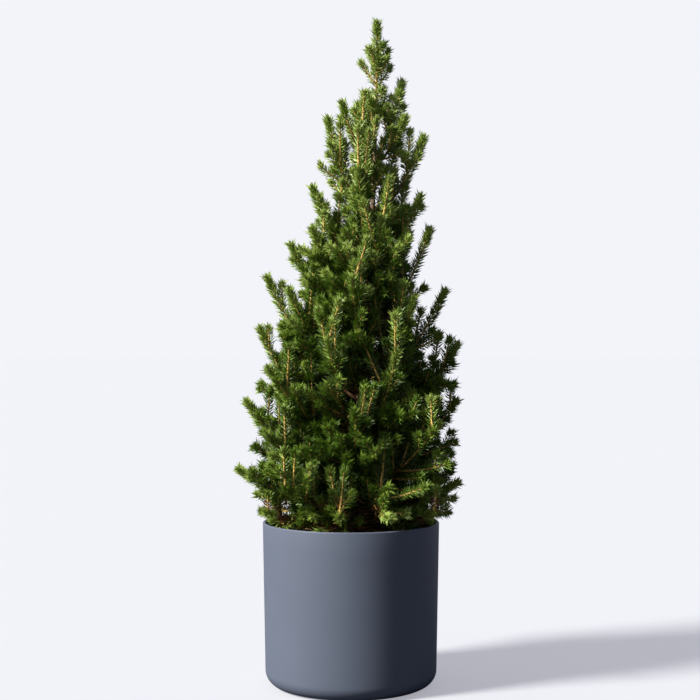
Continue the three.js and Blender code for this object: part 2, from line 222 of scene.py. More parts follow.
def add_piece(name, shell, material, stands_for, smooth):
    """A mesh object from points and faces that all have the same number of corners."""
    points, faces = shell
    mesh = bpy.data.meshes.new(name)
    mesh.vertices.add(len(points))
    mesh.vertices.foreach_set("co", np.ascontiguousarray(points, np.float32).ravel())
    mesh.loops.add(faces.size)
    mesh.loops.foreach_set("vertex_index", np.ascontiguousarray(faces, np.int32).ravel())
    mesh.polygons.add(len(faces))
    mesh.polygons.foreach_set("loop_start", np.arange(len(faces), dtype=np.int32) * faces.shape[1])
    mesh.polygons.foreach_set("use_smooth", np.full(len(faces), smooth))
    mesh.update(calc_edges=True)
    mesh.materials.append(material)
    piece = bpy.data.objects.new(name, mesh)
    bpy.context.collection.objects.link(piece)
    if stands_for:
        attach(piece, BODY)
        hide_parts(*stands_for)
    print(f"{name}: {len(faces)} faces")
    return piece


print("every piece rides on the body", BODY)

# %% [markdown]
# The planter, the compost, the wood and even the floor are rings of points that are joined to a closed skin.
# A screw modifier would turn a profile too, but these few sums also serve tubes that bend.

# %% Round shapes
def ring_faces(rings, sides):
    """Faces that join rings of points and close both ends. The two end points come after the rings."""
    side = np.arange(sides)
    ahead = (side + 1) % sides
    faces = []
    for ring in range(rings - 1):
        low, high = ring * sides, (ring + 1) * sides
        faces.append(np.stack([low + side, low + ahead, high + ahead], axis=-1))
        faces.append(np.stack([low + side, high + ahead, high + side], axis=-1))
    last = (rings - 1) * sides
    faces.append(np.stack([ahead, side, np.full(sides, rings * sides)], axis=-1))
    faces.append(np.stack([last + side, last + ahead, np.full(sides, rings * sides + 1)], axis=-1))
    return np.concatenate(faces)


def circle_angles(sides):
    return np.linspace(0, 2 * np.pi, sides, endpoint=False)


def turned(profile, sides):
    """A profile of (radius, height) points turned round the upright axis. Its ends lie on the axis."""
    angles = circle_angles(sides)
    radii, heights = np.array(profile[1:-1]).T
    rings = np.stack([
        radii[:, None] * np.cos(angles),
        radii[:, None] * np.sin(angles),
        np.repeat(heights[:, None], sides, axis=1),
    ], axis=-1)
    ends = [[0, 0, profile[0][1]], [0, 0, profile[-1][1]]]
    return np.concatenate([rings.reshape(-1, 3), ends]), ring_faces(len(radii), sides)


print("two rings of four points have", len(ring_faces(2, 4)), "faces")

# %% [markdown]
# ## Floor
# The plant stands on a plain pale floor. It is one wide disc, so that no edge of it shows. Its colour as seen
# and the light that it throws back are set apart: a floor as pale as it looks would light the lowest shoots
# too strongly from below.

# %% Floor
FLOOR_RADIUS = 60.0
FLOOR_THICKNESS = 0.02
FLOOR_SIDES = 64
FLOOR_GLOW = (0.36, 0.36, 0.405, 1)
FLOOR_SEEN = (0.270, 0.279, 0.2885, 1)
FLOOR_BOUNCE = (0.08, 0.085, 0.11, 1)
BLACK = (0, 0, 0, 1)


def pale_floor(graph):
    is_seen = graph.node("ShaderNodeLightPath", {}, {}, "Is Camera Ray")
    return {
        "Base Color": graph.mix(is_seen, FLOOR_BOUNCE, FLOOR_SEEN),
        "Emission Color": graph.mix(is_seen, BLACK, FLOOR_GLOW),
        "Emission Strength": 1.0,
        "Roughness": 0.8,
        "Specular IOR Level": 0.0,
    }


floor_edge = [(FLOOR_RADIUS, -FLOOR_THICKNESS), (FLOOR_RADIUS, 0)]
disc = turned([(0, -FLOOR_THICKNESS), *floor_edge, (0, 0)], FLOOR_SIDES)
add_piece("floor", disc, finish("pale_floor", pale_floor), None, False)

# %% [markdown]
# ## Light
# One soft lamp, to the left and a little in front, models the round planter from light to dark, and the pale
# surroundings fill the shade. The surroundings look bright but light the plant less than they show, as in a
# studio where black screens stand out of view on the far side.

# %% Light
KEY_TURN = 65  # degrees left of the camera's direction
KEY_HEIGHT = 36  # degrees above the floor
KEY_SPREAD = 12  # degrees that the lamp spans, which softens its shadows
KEY_STRENGTH = 8.35
KEY_COLOUR = (1.0, 0.97, 0.92)
BACKDROP = (0.896, 0.905, 0.956, 1)
FILL_LEFT = (0.46, 0.47, 0.50, 1)
FILL_RIGHT = (0.022, 0.028, 0.045, 1)
FILL_BACK = (0.98, 1.0, 1.12, 1)


def add_key_light():
    turn, height = math.radians(KEY_TURN), math.radians(KEY_HEIGHT)
    level = math.cos(height)
    towards = Vector((-math.sin(turn) * level, -math.cos(turn) * level, math.sin(height)))
    lamp = bpy.data.objects.new("key_light", bpy.data.lights.new("key_light", "SUN"))
    lamp.data.angle = math.radians(KEY_SPREAD)
    lamp.data.energy = KEY_STRENGTH
    lamp.data.color = KEY_COLOUR
    lamp.location = towards
    lamp.rotation_euler = towards.to_track_quat("Z", "Y").to_euler()
    bpy.context.collection.objects.link(lamp)


def set_surroundings():
    world = bpy.data.worlds.new("studio")
    bpy.context.scene.world = world
    graph = Graph(world)
    direction = graph.node("ShaderNodeTexCoord", {}, {}, "Generated")
    rightward = graph.node("ShaderNodeSeparateXYZ", {}, {"Vector": direction}, "X")
    backward = graph.node("ShaderNodeSeparateXYZ", {}, {"Vector": direction}, "Y")
    in_front = graph.mix(rightward * 0.5 + 0.5, FILL_LEFT, FILL_RIGHT)
    lighting = graph.mix((backward * 0.5 + 0.5) ** 3, in_front, FILL_BACK)
    is_seen = graph.node("ShaderNodeLightPath", {}, {}, "Is Camera Ray")
    graph.feed(graph.tree.nodes["Background"], {"Color": graph.mix(is_seen, lighting, BACKDROP)})


add_key_light()
set_surroundings()
bpy.context.scene.view_settings.view_transform = "Standard"
print("lamp strength:", KEY_STRENGTH)

# %% [markdown]
# ## Planter
# The real planter is a plastic cover pot: a thin wall that widens a little towards the rim, a round corner at
# the foot and a satin surface. It could be a cylinder with a bevel, but a profile turned round its axis gives
# the corner, the rounded rim and the inside in one go. Its sizes are the frame's own.

# %% Planter shape
POT_HEIGHT = 165 * MM
POT_RIM_RADIUS = 90 * MM
POT_FOOT_RADIUS = 87 * MM
POT_CORNER = 15 * MM
POT_WALL = 3 * MM
POT_FLOOR = 4 * MM
POT_SIDES = 180
CORNER_STEPS = 14
WALL_STEPS = 8
RIM_STEPS = 5
RIM_ROUND = 1.2 * MM


def wall_radius(height):
    return POT_FOOT_RADIUS + (POT_RIM_RADIUS - POT_FOOT_RADIUS) * height / POT_HEIGHT


def quarter_turn(centre, radius, start, steps):
    """Points of a quarter circle in the profile's plane, from a start angle in degrees."""
    angles = np.radians(start + np.linspace(0, 90, steps + 1))
    return [(centre[0] + radius * math.cos(a), centre[1] + radius * math.sin(a)) for a in angles]


def planter_profile():
    corner = (wall_radius(POT_CORNER) - POT_CORNER, POT_CORNER)
    outer = quarter_turn(corner, POT_CORNER, -90, CORNER_STEPS)
    rim_height = POT_HEIGHT - RIM_ROUND
    wall = [(wall_radius(h), h) for h in np.linspace(POT_CORNER, rim_height, WALL_STEPS)[1:-1]]
    rim = quarter_turn((POT_RIM_RADIUS - RIM_ROUND, rim_height), RIM_ROUND, 0, RIM_STEPS)
    rim += quarter_turn((POT_RIM_RADIUS - POT_WALL + RIM_ROUND, rim_height), RIM_ROUND, 90, RIM_STEPS)
    inner = quarter_turn(corner, POT_CORNER - POT_WALL, -90, CORNER_STEPS)
    inner = [point for point in inner if point[1] > POT_FLOOR][::-1]
    foot = [(inner[-1][0] - POT_WALL, POT_FLOOR), (0, POT_FLOOR)]
    return [(0, 0), *outer, *wall, *rim, *inner, *foot]


planter_shell = turned(planter_profile(), POT_SIDES)
print("planter's profile:", len(planter_profile()), "points")

# %% [markdown]
# Moulded plastic is never one flat tone. The colour drifts a little over a hand's width, and a fine grain,
# too small to see as shape, scatters the light, so it goes into the bump and the roughness.

# %% Planter finish
SLATE = (0.088, 0.105, 0.142)


def slate_plastic(graph):
    drift = graph.noise(14.0, 2.0)
    grain = graph.noise(2600.0, 2.0)
    smear = graph.noise(1.0, 4.0, stretch=(30.0, 30.0, 160.0))
    return {
        "Base Color": graph.mix(drift, shade(SLATE, 0.94), shade(SLATE, 1.06)),
        "Roughness": 0.47 + 0.08 * smear + 0.05 * grain,
        "Specular IOR Level": 0.3,
        "Normal": graph.bump(grain, 0.12, 0.0002),
    }


add_piece("planter", planter_shell, finish("slate_plastic", slate_plastic), ["pot"], True)

# %% [markdown]
# ## Growth rule
# The plant follows one rule. The trunk is a line that leans a little and thins to its tip. Arms leave it in
# tiers, bend at a knee and sweep up. The frame's solids were made by the same rule and the same dice, so the
# arms and side shoots here lie where the solids are.

# %% Trunk
COMPOST_TOP = 149 * MM
CLEARANCE = 0.3 * MM
PLANT_TOP = 680 * MM
TRUNK_FOOT = COMPOST_TOP + CLEARANCE
TRUNK_TIP = 604 * MM
TRUNK_LEAN = 26.6 * MM
TRUNK_RADIUS = 6.5 * MM
TRUNK_TIP_RADIUS = 1.3 * MM
TRUNK_TAPER = 1.2
ROOT_FLARE = 4 * MM
ROOT_FLARE_HEIGHT = 7 * MM


def unit(vectors):
    return vectors / np.linalg.norm(vectors, axis=-1, keepdims=True)


def between(pair, share):
    """The first value at share 0, the second at share 1."""
    return pair[0] + (pair[1] - pair[0]) * share


def trunk_point(height):
    """The trunk's middle at a height, or at each of many heights."""
    height = np.asarray(height, float)
    share = (height - TRUNK_FOOT) / (PLANT_TOP - TRUNK_FOOT)
    return np.stack([TRUNK_LEAN * np.sin(np.pi / 2 * share), 0 * height, height], axis=-1)


def trunk_radius(height):
    share = np.minimum(1, (height - TRUNK_FOOT) / (TRUNK_TIP - TRUNK_FOOT))
    flare = ROOT_FLARE * np.exp((TRUNK_FOOT - height) / ROOT_FLARE_HEIGHT)
    return between((TRUNK_TIP_RADIUS, TRUNK_RADIUS), (1 - share) ** TRUNK_TAPER) + flare


print("trunk's radius at its foot:", round(trunk_radius(TRUNK_FOOT) / MM, 1), "mm")

# %% [markdown]
# The crown is told tier by tier, as one would describe it from the ground up: where a tier leaves the trunk,
# how stout and how many its shoots are, and where each arm ends. These few rows set the crown's whole form,
# and thousands of stems follow from them.

# %% Tiers of arms
# One row for each tier, in millimetres and degrees: where it leaves the trunk, how stout its shoots are, from
# which share of an arm they leave, how many and how long they are, and an arm for each (compass turn, reach,
# height of the tip).
TIERS = [
    ("hem", 156, 0.8, 0.3, 8, 48, [(200, 92, 178), (262, 89, 180), (328, 94, 178), (88, 93, 180)]),
    ("skirt", 168, 0.9, 0.3, 10, 62,
     [(180, 122, 222), (232, 106, 207), (290, 100, 208), (52, 104, 214), (352, 112, 208), (122, 106, 216)]),
    ("low", 192, 1, 0.16, 11, 62,
     [(186, 110, 288), (218, 108, 258), (270, 98, 282), (318, 104, 262), (4, 110, 296), (88, 101, 288)]),
    ("middle", 228, 1, 0.16, 10, 58,
     [(179, 99, 362), (206, 98, 322), (250, 84, 350), (298, 82, 338), (1, 104, 350), (46, 92, 352),
      (132, 92, 350)]),
    ("upper", 286, 0.95, 0.16, 9, 54,
     [(180, 96, 414), (208, 82, 400), (262, 68, 410), (318, 70, 392), (356, 85, 400), (58, 76, 412),
      (118, 76, 420)]),
    ("high", 348, 0.95, 0.16, 8, 48,
     [(183, 76, 447), (208, 60, 462), (286, 52, 470), (350, 66, 462), (60, 56, 468), (126, 58, 474)]),
    ("crown", 404, 0.9, 0.16, 7, 44,
     [(190, 58, 505), (254, 40, 520), (346, 53, 496), (30, 46, 520), (106, 42, 522)]),
    ("neck", 462, 0.85, 0.18, 7, 38,
     [(182, 45, 576), (248, 30, 566), (350, 53, 556), (36, 34, 570), (110, 32, 574)]),
    ("top", 522, 0.8, 0.18, 5, 30, [(186, 33, 592), (340, 33, 576), (4, 28, 614), (110, 20, 606)]),
]
LEADER = ("leader", 604, 0.65, 0.02, 8, 32)
print("tiers:", [tier[0] for tier in TIERS])

# %% [markdown]
# An arm leaves the trunk outward, bends at its knee and sweeps up. A curve object could hold that line, but
# all later stems start on it, so it is kept as sums that give the point and the direction at any share of it.

# %% Arms
KNEE_OUT = 0.6
KNEE_UP = 0.3
STAGGER = 6 * MM


class Arm:
    """A limb from the trunk to its tip, on a curve with one knee, with the sizes of its tier."""

    def __init__(self, sizes, root, knee, tip, across):
        self.name, _, self.girth, self.bare, self.shoots, self.longest = sizes
        self.root, self.knee, self.tip = root, knee, tip
        self.across = across

    def point(self, share):
        share = np.asarray(share, float)[..., None]
        return (1 - share) ** 2 * self.root + 2 * share * (1 - share) * self.knee + share ** 2 * self.tip

    def way(self, share):
        share = np.asarray(share, float)[..., None]
        return unit((1 - share) * (self.knee - self.root) + share * (self.tip - self.knee))


def arm_of(tier, index, turn, reach, tip_height):
    turn = math.radians(turn)
    outward = np.array([math.cos(turn), math.sin(turn), 0])
    root = trunk_point(tier[1] * MM + STAGGER * (index % 3))
    rise = tip_height * MM - root[2]
    knee = root + outward * KNEE_OUT * reach * MM + UP * KNEE_UP * rise
    tip = root + outward * reach * MM + UP * rise
    return Arm(tier[:6], root, knee, tip, np.array([-outward[1], outward[0], 0]))


arms = [arm_of(tier, index, *sizes) for tier in TIERS for index, sizes in enumerate(tier[6])]
leader = Arm(LEADER, trunk_point(TRUNK_TIP + CLEARANCE), trunk_point((TRUNK_TIP + PLANT_TOP) / 2),
             trunk_point(PLANT_TOP), np.array([0.0, 1.0, 0.0]))
every_arm = [*arms, leader]
print("arms:", len(every_arm))

# %% [markdown]
# A shoot may grow only where there is room: inside the crown's outline, and off the trunk and the planter.
# The outline is a short table of radii by height, which is easier to adjust than a modelled cage.

# %% Outline of the crown
# The crown's outline: at each [height, radius], how far its shoots may reach from the trunk's line.
OUTLINE = np.array([[150, 92], [182, 104], [212, 122], [262, 116], [340, 112], [412, 98], [452, 78],
                    [512, 60], [560, 52], [600, 36], [640, 24], [680, 12]]) * MM
BOX_LOW, BOX_HIGH = [np.array(corner) for corner in frame_box]


def in_box(points, spare):
    """Inside the frame's box, with a little to spare."""
    return ((points > BOX_LOW - spare) & (points < BOX_HIGH + spare)).all(axis=-1)


def outline(heights):
    """The crown's radius at heights."""
    return np.interp(heights, OUTLINE[:, 0], OUTLINE[:, 1])


def from_trunk(points, heights):
    """How far points are from the trunk's line at these heights."""
    return np.linalg.norm(points[..., :2] - trunk_point(heights)[..., :2], axis=-1)


def in_crown(points, spare=0.0):
    """Inside the crown's outline and the frame's box, with a little to spare."""
    heights = points[..., 2]
    inside = from_trunk(points, heights) < outline(heights) + spare
    return in_box(points, spare) & inside & (heights >= OUTLINE[0, 0] - spare)


def clear_of_trunk_and_planter(points, margin):
    heights = points[..., 2]
    beside = np.clip(heights, TRUNK_FOOT, TRUNK_TIP)
    off_trunk = (heights >= TRUNK_TIP) | (from_trunk(points, beside) >= trunk_radius(beside) + margin)
    inside_wall = np.linalg.norm(points[..., :2], axis=-1) < wall_radius(heights) - POT_WALL - margin
    off_planter = (heights > POT_HEIGHT + margin) | (inside_wall & (heights > COMPOST_TOP + margin))
    return off_trunk & off_planter


print("the crown is widest at", round(OUTLINE[OUTLINE[:, 1].argmax(), 0] / MM), "mm")

# %% [markdown]
# A side shoot also stays in the space that is nearer to its own arm than to any other, so that arms never
# cross. Measuring points against all the arms at once, as one array sum, keeps this quick.

# %% Space of each arm
BOUGH_ROOT_RADIUS = 2.3 * MM
AXIS_STEPS = 10
AXES = np.stack([arm.point(np.linspace(0, 1, AXIS_STEPS + 1)) for arm in every_arm])


def distances_to_axes(points):
    """How far each point is from each arm: an array of points by arms."""
    starts, steps = AXES[:, :-1], np.diff(AXES, axis=1)
    offsets = points[:, None, None] - starts
    along = np.clip((offsets * steps).sum(-1) / (steps * steps).sum(-1), 0, 1)
    return np.linalg.norm(offsets - along[..., None] * steps, axis=-1).min(axis=-1)


def in_own_space(points, index, margin):
    distances = distances_to_axes(points)
    own = distances[:, index:index + 1]
    others = np.delete(distances, index, axis=1)
    return ((others > own + margin) & (others > BOUGH_ROOT_RADIUS + margin)).all(axis=1)


def fits(points, index, margin):
    roomy = in_crown(points) & clear_of_trunk_and_planter(points, margin)
    return roomy.all() and in_own_space(points, index, margin).all()


print("arms and points on each:", AXES.shape[:2])

# %% [markdown]
# The frame's solids and these shoots come out alike because both throw the same dice: a plain
# multiply-and-remainder rule that gives the same rolls in any language.

# %% Dice
FIRST_SEED = 540


def seeded_dice(seed):
    multiplier, modulus, seed_step = 48271, 2147483647, 7919
    state = (seed * seed_step * multiplier) % modulus

    def roll():
        nonlocal state
        state = (state * multiplier) % modulus
        return state / modulus

    return roll


print("first roll:", round(seeded_dice(FIRST_SEED)(), 3))

# %% [markdown]
# Side shoots leave an arm by the golden angle, as needles and buds do on the living plant, so no two stand
# above each other. One that doesn't fit is tried shorter, and left out when it gets too short.

# %% Side shoots
SHOOT_ANGLE = 43
SHOOT_LIFT = 0.25
SHOOT_TAPER = 0.3
SHORTEST_SHOOT = 20 * MM
SHORTENING = 0.85  # of the length, each time that a stem doesn't fit
TRIES = 2  # for each shoot that an arm could bear
SHOOT_SPACING = 12.8 * MM
SHOOT_STEPS = 3
SHOOT_MARGIN = 3 * MM  # of a shoot's middle from other wood and from the next arm's space
LAST_SHOOT = 0.86
TIP_SHARES = (0.7, 0.8, 0.9, 1)  # of an arm, which its shoots keep away from
GOLDEN_ANGLE = 137.5
TURN_SPREAD = 30
LENGTH_SPREAD = 0.3


def leaning(way, across, turn, lean, lift):
    """A direction that leans off a stem's way, turned round it, and then lifts to the light."""
    sideways = across * np.cos(turn) + np.cross(way, across) * np.sin(turn)
    return unit(way * np.cos(lean) + sideways * np.sin(lean) + UP * lift)


def shoot_course(index, share, turn, length, taken):
    """The start, direction, length and points of a shoot that fits, or None."""
    arm = every_arm[index]
    start = arm.point(share)
    away = leaning(arm.way(share), arm.across, turn, math.radians(SHOOT_ANGLE), SHOOT_LIFT)
    steps = np.arange(1, SHOOT_STEPS + 1)[:, None] / SHOOT_STEPS
    while length >= SHORTEST_SHOOT:
        points = start + away * length * steps
        gaps = np.linalg.norm(points[:, None] - np.array(taken), axis=-1)
        if gaps.min() >= arm.girth * SHOOT_SPACING and fits(points, index, SHOOT_MARGIN):
            return start, away, length, points
        length *= SHORTENING
    return None


def shoots_of(index):
    """All side shoots of one arm, by the dice that belong to it."""
    arm = every_arm[index]
    roll = seeded_dice(FIRST_SEED + index)
    taken = [arm.point(share) for share in TIP_SHARES]
    turn = 360 * roll()
    tries = TRIES * arm.shoots
    found = []
    for attempt in range(tries):
        progress = (attempt + roll()) / tries
        share = between((arm.bare, LAST_SHOOT), progress)
        length = arm.longest * MM * (1 - SHOOT_TAPER * progress) * (1 + LENGTH_SPREAD * (roll() - 0.5))
        turn += GOLDEN_ANGLE + TURN_SPREAD * (roll() - 0.5)
        course = shoot_course(index, share, math.radians(turn), length, taken)
        if course:
            taken.extend(course[3])
            found.append(course[:3])
    return found


arm_shoots = [shoots_of(index) for index in range(len(every_arm))]
print("side shoots:", sum(len(found) for found in arm_shoots))

# %% [markdown]
# ## Stems
# The solids stop at the side shoots, and from here the rule goes finer. From an arm to the thinnest twig,
# each stem is kept as seven points, a radius at each end, its order, and from which share of it there are
# needles. That is all that the wood and the needles need, so both can be worked out for all stems at once.
# The rest of the growing is not in the solids, so it uses the usual seeded random numbers.

# %% Stems
OLD, YOUNG, SHOOT, TWIG, BARE = range(5)  # a stem's order, from the old length of an arm to a bare twig
STEM_POINTS = 7
LAST_PLACE = STEM_POINTS - 1.001  # just short of a stem's last point
BOW = 0.05  # how far a stem bows down, of its length
random = np.random.RandomState(27)


def give_or_take(amount, count=None):
    """A number by chance, or many, up to an amount below or above 0."""
    return random.uniform(-amount, amount, count)


class Stem:
    """A thin stem: its points, its radius at both ends, its order and from which share it has needles."""

    def __init__(self, points, wood, order, clothed_from, girth):
        self.points = points
        self.wood = wood
        self.order = order
        self.clothed_from = clothed_from
        self.girth = girth
        self.length = np.linalg.norm(np.diff(points, axis=0), axis=1).sum()

    def at(self, share):
        """The point and the direction at a share of the stem."""
        place = min(share * (STEM_POINTS - 1), LAST_PLACE)
        step = int(place)
        start, end = self.points[step], self.points[step + 1]
        return start + (end - start) * (place - step), unit(end - start)


def bowed_line(start, away, length):
    """Points of a stem that sags a little and turns up again at its tip."""
    shares = np.linspace(0, 1, STEM_POINTS)[:, None]
    downward = away * away[2] - UP
    return start + (away * shares + downward * BOW * 4 * shares * (1 - shares)) * length


print("points of a stem:", STEM_POINTS)

# %% [markdown]
# An arm is two stems: the old length, and the young end beyond it, which has its own colour and more
# needles. The skirt's arms leave out their inner quarter, which is a bough with bark of its own. The topmost
# length of the trunk bears twigs too, so it is a stem as well.

# %% Lengths of the arms and the trunk's top
BOUGH_SHARE = 0.24  # of a skirt arm
BOUGH_TIP_RADIUS = 1.6 * MM
ARM_ROOT_RADIUS = 1.9 * MM
YOUNG_RADIUS = 1.2 * MM
ARM_TIP_RADIUS = 0.6 * MM
YOUNG_FROM = 0.55  # the share of an arm where its young end starts
PLUME_FROM = 0.3  # the share where its needles start at the earliest
END_SHARES = np.linspace(0.7, 1, 61)  # where an arm may end
TIP_INSET = 5 * MM
LEADER_TOP = 674 * MM
TWIGGY_TRUNK = 430 * MM  # above this the trunk bears twigs
TRUNK_CLOTHED = 0.85  # from this share of that length it has needles too


def arm_end(arm):
    """The share of an arm where its wood ends, a little inside the frame's box."""
    points = arm.point(END_SHARES)
    return END_SHARES[in_box(points, -TIP_INSET) & (points[:, 2] < LEADER_TOP)].max()


def old_length(arm):
    is_skirt = arm.name == "skirt"
    first = BOUGH_SHARE if is_skirt else 0
    root_radius = BOUGH_TIP_RADIUS if is_skirt else ARM_ROOT_RADIUS
    points = arm.point(np.linspace(first, YOUNG_FROM, STEM_POINTS))
    clothed_from = (max(PLUME_FROM, arm.bare) - first) / (YOUNG_FROM - first)
    return Stem(points, (root_radius, YOUNG_RADIUS), OLD, clothed_from, arm.girth)


def young_end(arm):
    """The young outer length of an arm, or the whole leader."""
    first = 0 if arm is leader else YOUNG_FROM
    points = arm.point(np.linspace(first, arm_end(arm), STEM_POINTS))
    return Stem(points, (YOUNG_RADIUS, ARM_TIP_RADIUS), YOUNG, 0, 1)


def top_of_trunk():
    points = trunk_point(np.linspace(TWIGGY_TRUNK, TRUNK_TIP, STEM_POINTS))
    return Stem(points, (TRUNK_TIP_RADIUS, TRUNK_TIP_RADIUS), OLD, TRUNK_CLOTHED, 1)


print("young end of the leader:", round(young_end(leader).length / MM), "mm")

# %% [markdown]
# ## Gaps
# A living crown isn't closed: here and there an arm has died or was shaded, and one sees the sky or the dark
# inside. Cutting holes afterwards would leave floating needles. Instead each gap is a leaning oval seen from
# the front, and the twigs and further shoots are shortened or left out where they would reach into one.

# %% Gaps in the crown
# In millimetres and degrees: the middle's x and z, half the width and height, the lean to the right, and the
# y that the gap goes back to.
GAPS = [
    (42, 531, 10, 17, 30, 100),
    (58, 505, 10, 20, 30, 100),
    (76, 440, 20, 40, 10, 100),
    (74, 376, 13, 36, 9, 100),
    (51, 215, 16, 40, 0, -25),
    (-5, 281, 12, 27, 0, -40),
    (25, 322, 12, 17, 0, -58),
    (-39, 460, 8, 14, 0, 100),
    (-76, 380, 8, 14, -15, 100),
    (-86, 330, 7, 9, 0, 100),
    (4, 164, 16, 16, 0, -8),
]


def off_gaps(points):
    """Outside the gaps in the crown."""
    off = np.full(len(points), True)
    for x, z, half_width, half_height, lean, back in GAPS:
        sideways, upwards = points[:, 0] - x * MM, points[:, 2] - z * MM
        sine, cosine = math.sin(math.radians(lean)), math.cos(math.radians(lean))
        across = (sideways * cosine - upwards * sine) / (half_width * MM)
        along = (sideways * sine + upwards * cosine) / (half_height * MM)
        off &= (across ** 2 + along ** 2 > 1) | (points[:, 1] > back * MM)
    return off


print("gaps:", len(GAPS))

# %% [markdown]
# Every further stem is tried at its full length and shortened until it has room: inside the outline and off
# the trunk, the planter and the gaps. Near the top a slimmer cone holds, so that the leader stands free.

# %% Room for a stem
LOWEST_STEM = 150 * MM
STEM_INSET = 6 * MM  # how far inside the crown's outline a stem ends
STEM_CLEARANCE = 2 * MM
NARROW_FROM = 560 * MM  # above this the crown narrows to its leader
NARROW_SPAN = 80 * MM
NARROWING = 8 * MM


def near_leader(heights):
    """0 where the crown is wide, and up to 1 where it has narrowed to its leader."""
    return np.clip((heights - NARROW_FROM) / NARROW_SPAN, 0, 1)


def beside_leader(points, inset):
    """Inside the slim cone that the crown's top narrows to, round its leader."""
    heights = points[..., 2]
    return from_trunk(points, heights) < outline(heights) - inset - NARROWING * near_leader(heights)


def has_room(points, inset=STEM_INSET):
    roomy = in_box(points, -inset) & clear_of_trunk_and_planter(points, STEM_CLEARANCE)
    roomy &= off_gaps(points) & beside_leader(points, inset) & (points[:, 2] > LOWEST_STEM)
    return roomy.all()


def fitted_line(start, away, length, shortest, rooted, inset=STEM_INSET, highest=PLANT_TOP):
    """The longest bowed line that has room there past its rooted points, or None."""
    while length >= shortest:
        points = bowed_line(start, away, length)
        if has_room(points[rooted:], inset) and points[-1, 2] < highest:
            return points
        length *= SHORTENING
    return None


print("the crown narrows above", round(NARROW_FROM / MM), "mm")

# %% [markdown]
# ## Twigs and more shoots
# Short twigs lean forward from their stem and turn up to the light. They could be copies of one modelled
# twig, but copies would cross each other and the trunk. So each is tried where it would grow.

# %% Twigs
TWIG_STEP = 8.6 * MM
TWIG_ANGLE = 40
TWIG_LIFT = 0.4
TWIG_TAPER = 0.45
TWIG_PLACES = (0.2, 0.8)  # of its step, by chance
TWIG_LENGTHS = (0.7, 1.15)
TWIG_TURNS = 20
TWIG_LEANS = 7
TWIG_WOOD = (0.65 * MM, 0.4 * MM)
TWIG_CLOTHED = 0.04
SHORTEST_TWIG = 11 * MM
ROOTED = 3  # so many of a stem's points needn't have room of their own
OFF_UPRIGHT = 0.01  # keeps the cross product from vanishing on an upright stem


def twigs_on(stem, shares, longest):
    """Short twigs between two shares of a stem, turned by the golden angle."""
    count = int(stem.length * (shares[1] - shares[0]) / TWIG_STEP)
    turn = random.uniform(0, 2 * np.pi)
    twigs = []
    for number in range(count):
        progress = (number + random.uniform(*TWIG_PLACES)) / count
        centre, way = stem.at(between(shares, progress))
        turn += math.radians(GOLDEN_ANGLE + give_or_take(TWIG_TURNS))
        lean = math.radians(TWIG_ANGLE + give_or_take(TWIG_LEANS))
        away = leaning(way, unit(np.cross(way, UP + OFF_UPRIGHT)), turn, lean, TWIG_LIFT)
        length = longest * (1 - TWIG_TAPER * progress) * random.uniform(*TWIG_LENGTHS)
        points = fitted_line(centre, away, length, SHORTEST_TWIG, ROOTED)
        if points is not None:
            twigs.append(Stem(points, TWIG_WOOD, TWIG, TWIG_CLOTHED, stem.girth))
    return twigs


print("twigs are", round(TWIG_STEP / MM, 1), "mm apart")

# %% [markdown]
# Straight shoots rise from the arms' upper sides to the light. On arms that point forward or back they may
# rise higher, because at the sides they would fill the steps between the tiers.

# %% Upright shoots
SHOOT_WOOD = (1.3 * MM, 0.75 * MM)
SHOOT_CLOTHED = 0.06
UPRIGHT_EVERY = 12  # an arm has one for each so many millimetres of its longest shoot
UPRIGHTS_BETWEEN = (0.42, 0.95)
UPRIGHT_STRAY = 0.07
UPRIGHT_LEAN = (-0.2, 0.3)
UPRIGHT_SWAY = 0.4
UPRIGHT_LENGTHS = (1.1, 1.7)  # of the arm's longest side shoot
UPRIGHT_RISE = (6 * MM, 45 * MM)  # above the arm's tip, on side arms and on front arms
UPRIGHT_INSET = 7.5 * MM
UPRIGHT_ROOTED = 2


def upright_shoots(arm):
    """Straight shoots that rise from an arm's upper side to the light."""
    shoots = []
    outward = np.cross(arm.across, UP)
    facing = abs(outward[1])
    highest = arm.tip[2] + between(UPRIGHT_RISE, facing)
    for share in np.linspace(*UPRIGHTS_BETWEEN, round(arm.longest / UPRIGHT_EVERY)):
        start = arm.point(share + give_or_take(UPRIGHT_STRAY))
        lean = outward * random.uniform(*UPRIGHT_LEAN) + arm.across * give_or_take(UPRIGHT_SWAY)
        length = arm.longest * MM * random.uniform(*UPRIGHT_LENGTHS)
        points = fitted_line(start, unit(UP + lean), length, SHORTEST_SHOOT, UPRIGHT_ROOTED, UPRIGHT_INSET,
                             highest)
        if points is not None:
            shoots.append(Stem(points, SHOOT_WOOD, SHOOT, SHOOT_CLOTHED, arm.girth))
    return shoots


print("upright shoots on a", arms[0].name, "arm, at most:", round(arms[0].longest / UPRIGHT_EVERY))

# %% [markdown]
# Old shoots fill the shade between the trunk and the arms, and some lie low over the rim on the side that
# gets least light. At the foot a few twigs have lost their needles for want of light. All three kinds leave
# the trunk, so they share how they start.

